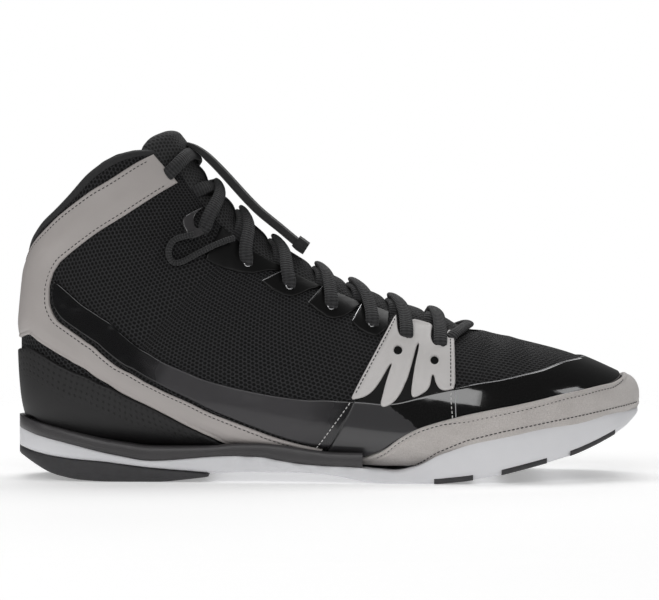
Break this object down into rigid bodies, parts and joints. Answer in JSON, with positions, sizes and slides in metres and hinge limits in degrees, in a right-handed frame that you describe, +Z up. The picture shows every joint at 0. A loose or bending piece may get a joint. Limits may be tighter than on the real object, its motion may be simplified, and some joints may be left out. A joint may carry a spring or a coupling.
{
  "type": "wrestling shoe",
  "caption": "Right high-top wrestling shoe: black mesh bootie with leather, suede and gloss overlays, laced front and a thin split-tread sole.",
  "frame": {"origin": "middle of the flat spot under the heel, on the floor plane", "axes": "+X towards the toe, +Z up, -Y towards the outer side of the foot"},
  "size_m": [0.2899, 0.0956, 0.1623],
  "materials": {
    "mesh": "open double-raschel mesh, matt black",
    "lining": "matt black textile lining",
    "white_rubber": "smooth satin white rubber",
    "dark_rubber": "matt charcoal rubber",
    "rand_rubber": "satin charcoal rubber",
    "grey_leather": "smooth warm-grey synthetic leather with stitched edges",
    "grey_suede": "napped warm-grey synthetic suede",
    "stay_leather": "light grey synthetic leather with a pressed rim",
    "gloss_black": "patent gloss black film",
    "satin_charcoal": "glossy charcoal bonded film",
    "counter_black": "matt black moulded counter with rows of pinholes",
    "lace_grey": "ribbed oval lace, dark grey",
    "elastic_black": "black woven elastic"
  },
  "bodies": {
    "root": {"ankle_tab_lateral": "gloss_black", "ankle_tab_medial": "gloss_black", "collar": "lining", "collar_band": "grey_leather", "eyestay_lateral": "stay_leather", "eyestay_medial": "stay_leather", "forefoot_tread_1": "dark_rubber", "forefoot_tread_2": "dark_rubber", "forefoot_tread_3": "dark_rubber", "heel_counter": "counter_black", "heel_outsole": "dark_rubber", "insole": "lining", "lace_bar": "lace_grey", "lace_cover": "elastic_black", "lace_crossing_1": "lace_grey", "lace_crossing_2": "lace_grey", "lace_crossing_3": "lace_grey", "lace_crossing_4": "lace_grey", "lace_crossing_5": "lace_grey", "lace_crossing_6": "lace_grey", "lace_crossing_7": "lace_grey", "lace_facing_lateral": "gloss_black", "lace_facing_medial": "gloss_black", "lace_loop": "lace_grey", "mudguard": "gloss_black", "rand": "rand_rubber", "side_panel_lateral": "satin_charcoal", "side_panel_medial": "satin_charcoal", "sole": "white_rubber", "toe_guard": "grey_suede", "tongue": "lining", "upper": "mesh"}
  },
  "joints": []
}
